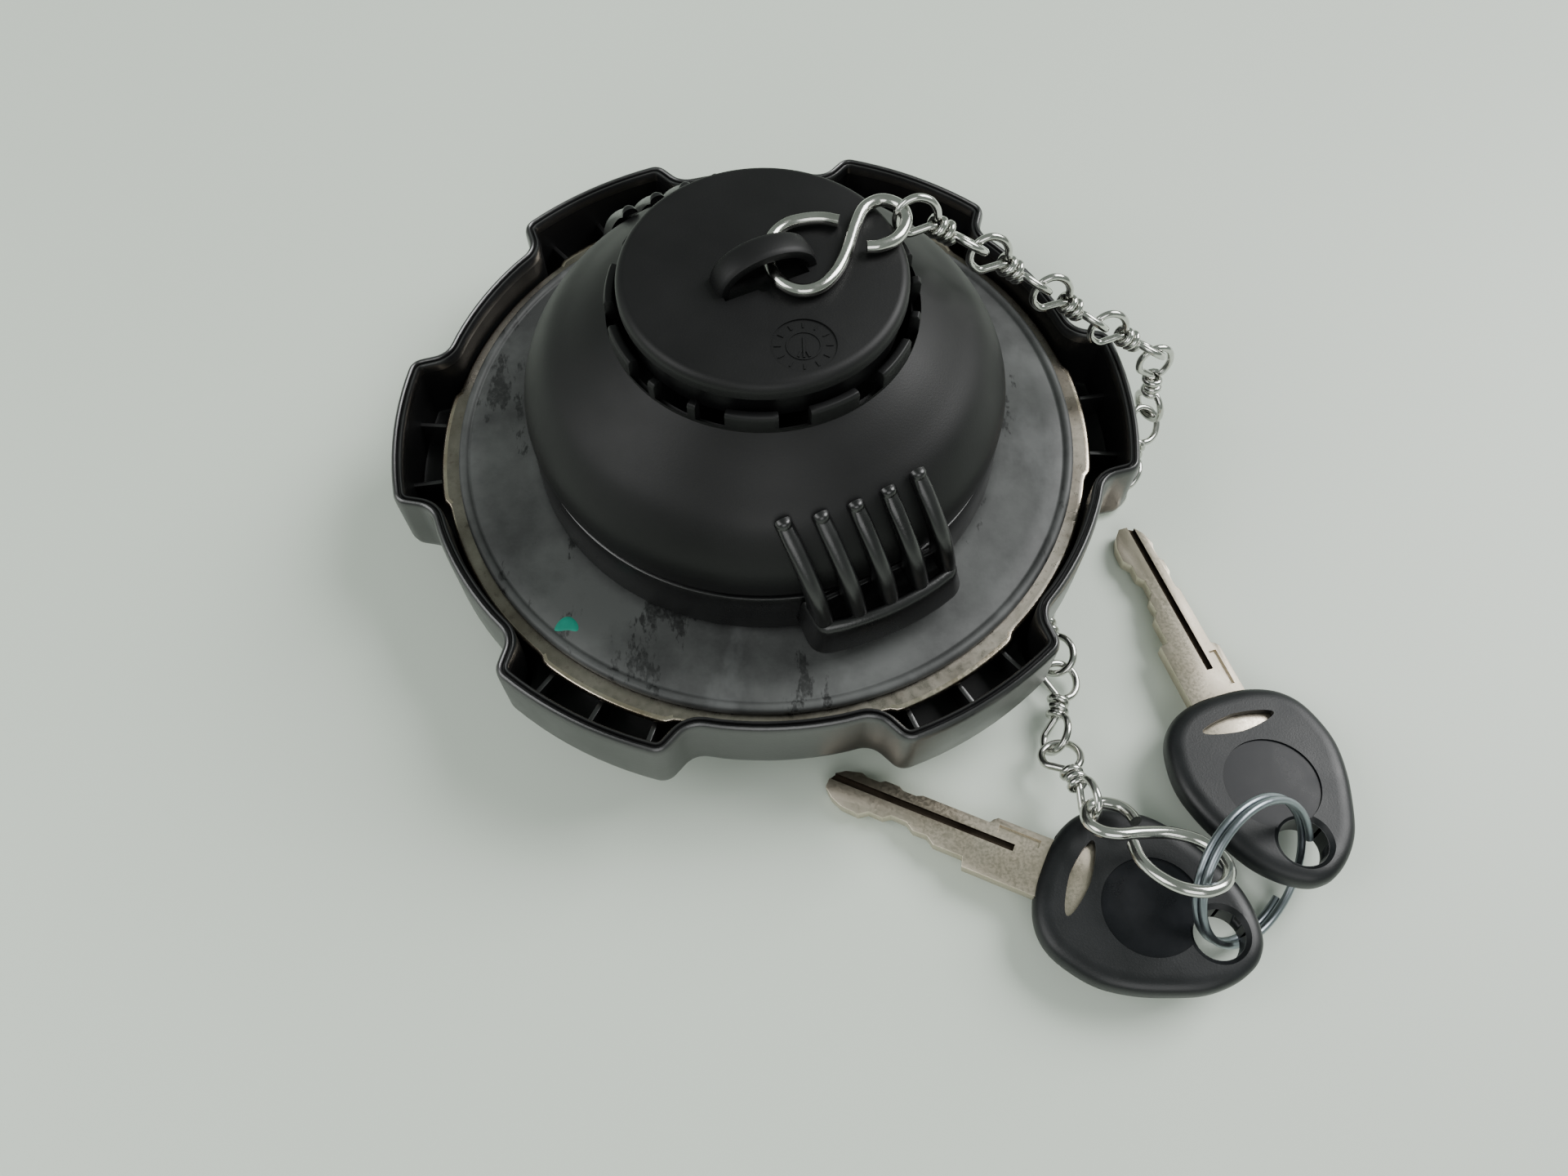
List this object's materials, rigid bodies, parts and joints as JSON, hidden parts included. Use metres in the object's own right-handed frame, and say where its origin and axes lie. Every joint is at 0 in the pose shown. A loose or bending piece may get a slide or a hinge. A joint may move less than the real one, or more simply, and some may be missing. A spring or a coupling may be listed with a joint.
{
  "type": "lockable fuel filler cap",
  "caption": "Lockable bayonet filler cap for a vehicle fuel tank: lobed grip, face gasket, domed insert with ribbed lugs, and a wire chain with keys.",
  "frame": {"origin": "on the cap's axis, in the plane of the lock boss that the cap lies on", "axes": "+Z along the cap's axis, out of the grip and into the tank; -Z is the side that faces the user when the cap is fitted. The keys lie towards -Y and +X."},
  "size_m": [0.1541, 0.1557, 0.0627],
  "materials": {
    "black_nylon": "fine-grained moulded black, satin",
    "black_nylon_dark": "moulded black, matt",
    "gasket_rubber": "flat dark grey, dusty",
    "seal_rubber": "smooth black",
    "plated_steel": "zinc plated, warm satin",
    "bright_wire": "bright zinc plated wire",
    "spring_steel": "drawn wire",
    "lock_brass": "machined",
    "lock_casting": "die cast, matt",
    "key_nickel": "nickel silver, fine scratches"
  },
  "bodies": {
    "grip": {"grip_cap": "black_nylon", "lock_escutcheon": "black_nylon", "flap_rivet": "plated_steel", "lock_housing": "lock_casting", "housing_screw_1": "plated_steel", "housing_screw_2": "plated_steel", "housing_screw_3": "plated_steel", "pressure_plate": "plated_steel", "gasket": "gasket_rubber", "seal_ring": "seal_rubber"},
    "dust_flap": {"keyway_flap": "plated_steel"},
    "lock_core": {"lock_plug": "lock_brass", "lock_cam": "lock_casting"},
    "bolt": {"lock_bolt": "plated_steel"},
    "spindle": {"spindle": "black_nylon_dark", "retaining_clip": "spring_steel", "spring_seat": "plated_steel"},
    "insert": {"lug_carrier": "black_nylon_dark", "insert_dome": "black_nylon_dark", "dome_cover": "black_nylon_dark", "vent_cup": "black_nylon_dark", "main_spring": "spring_steel", "vent_spring": "spring_steel"},
    "vent_valve": {"vent_disc": "seal_rubber"},
    "hook_at_cap": {"cap_hook": "bright_wire"},
    "link_01": {"chain_link_01": "bright_wire"},
    "link_02": {"chain_link_02": "bright_wire"},
    "link_03": {"chain_link_03": "bright_wire"},
    "link_04": {"chain_link_04": "bright_wire"},
    "link_05": {"chain_link_05": "bright_wire"},
    "link_06": {"chain_link_06": "bright_wire"},
    "link_07": {"chain_link_07": "bright_wire"},
    "link_08": {"chain_link_08": "bright_wire"},
    "link_09": {"chain_link_09": "bright_wire"},
    "link_10": {"chain_link_10": "bright_wire"},
    "link_11": {"chain_link_11": "bright_wire"},
    "hook_at_keys": {"key_hook": "bright_wire"},
    "ring": {"split_ring": "bright_wire"},
    "key_one": {"key_1_blade": "key_nickel", "key_1_head": "black_nylon"},
    "key_two": {"key_2_blade": "key_nickel", "key_2_head": "black_nylon"}
  },
  "joints": [
    {"name": "flap_swing", "type": "hinge", "parent": "grip", "child": "dust_flap", "pos_m": [0.015, 0, 0.001], "axis": [0, 0, 1], "range_deg": [-55, 55]},
    {"name": "lock_turn", "type": "hinge", "parent": "grip", "child": "lock_core", "pos_m": [0, 0, 0.0127], "axis": [0, 0, 1], "range_deg": [0, 90]},
    {"name": "bolt_slide", "type": "slide", "parent": "grip", "child": "bolt", "axis": [1, 0, 0], "range_m": [0, 0.003]},
    {"name": "insert_turn", "type": "hinge", "parent": "grip", "child": "spindle", "pos_m": [0, 0, 0.0145], "axis": [0, 0, 1], "range_deg": [-90, 90]},
    {"name": "insert_lift", "type": "slide", "parent": "spindle", "child": "insert", "axis": [0, 0, 1], "range_m": [0, 0.0015], "stiffness_N_per_m": 2000, "springref_m": -0.004, "deforming": ["main_spring"]},
    {"name": "vent_lift", "type": "slide", "parent": "insert", "child": "vent_valve", "axis": [0, 0, 1], "range_m": [0, 0.0008], "stiffness_N_per_m": 150, "springref_m": -0.002, "deforming": ["vent_spring"]},
    {"name": "cap_hook_swing", "type": "hinge", "parent": "insert", "child": "hook_at_cap", "pos_m": [0.0026, 0, 0.05855], "axis": [0, 0, 1], "range_deg": [-2, 2]},
    {"name": "link_01_swing", "type": "hinge", "parent": "hook_at_cap", "child": "link_01", "pos_m": [0.02115, 0.00988, 0.05855], "axis": [0, 0, 1], "range_deg": [-1, 1]},
    {"name": "link_02_swing", "type": "hinge", "parent": "link_01", "child": "link_02", "pos_m": [0.03346, 0.01039, 0.05], "axis": [0, 0, 1], "range_deg": [-1, 1]},
    {"name": "link_03_swing", "type": "hinge", "parent": "link_02", "child": "link_03", "pos_m": [0.04512, 0.0107, 0.04057], "axis": [0, 0, 1], "range_deg": [-1, 1]},
    {"name": "link_04_swing", "type": "hinge", "parent": "link_03", "child": "link_04", "pos_m": [0.05659, 0.011, 0.03091], "axis": [0, 0, 1], "range_deg": [-1, 1]},
    {"name": "link_05_swing", "type": "hinge", "parent": "link_04", "child": "link_05", "pos_m": [0.06886, 0.01178, 0.02232], "axis": [0, 0, 1], "range_deg": [-1, 1]},
    {"name": "link_06_swing", "type": "hinge", "parent": "link_05", "child": "link_06", "pos_m": [0.07096, 0.00942, 0.00765], "axis": [0, 0, 1], "range_deg": [-1, 1]},
    {"name": "link_07_swing", "type": "hinge", "parent": "link_06", "child": "link_07", "pos_m": [0.06476, -0.0035, 0.00323], "axis": [0, 0, 1], "range_deg": [-2, 0.5]},
    {"name": "link_08_swing", "type": "hinge", "parent": "link_07", "child": "link_08", "pos_m": [0.05183, -0.01111, 0.0032], "axis": [0, 0, 1], "range_deg": [-2, 0.5]},
    {"name": "link_09_swing", "type": "hinge", "parent": "link_08", "child": "link_09", "pos_m": [0.04643, -0.0251, 0.0032], "axis": [0, 0, 1], "range_deg": [-3, 0.5]},
    {"name": "link_10_swing", "type": "hinge", "parent": "link_09", "child": "link_10", "pos_m": [0.04882, -0.03991, 0.0032], "axis": [0, 0, 1], "range_deg": [-3, 0.5]},
    {"name": "link_11_swing", "type": "hinge", "parent": "link_10", "child": "link_11", "pos_m": [0.04563, -0.05452, 0.00443], "axis": [0, 0, 1], "range_deg": [-3, 0.5]},
    {"name": "key_hook_swing", "type": "hinge", "parent": "link_11", "child": "hook_at_keys", "pos_m": [0.04867, -0.06741, 0.01147], "axis": [0, 0, 1], "range_deg": [-2, 0.5]},
    {"name": "ring_swing", "type": "hinge", "parent": "hook_at_keys", "child": "ring", "pos_m": [0.06119, -0.07893, 0.01788], "axis": [0, 0, 1], "range_deg": [-1, 0.5]},
    {"name": "key_one_swing", "type": "hinge", "parent": "ring", "child": "key_one", "pos_m": [0.06479, -0.08605, 0.0076], "axis": [0, 0, 1], "range_deg": [-2, 2]},
    {"name": "key_two_swing", "type": "hinge", "parent": "ring", "child": "key_two", "pos_m": [0.08023, -0.07279, 0.0076], "axis": [0, 0, 1], "range_deg": [-2, 1]}
  ],
  "couplings": [
    {"joint": "bolt_slide", "follows": "lock_turn", "m_per_rad": 0.0019099}
  ]
}
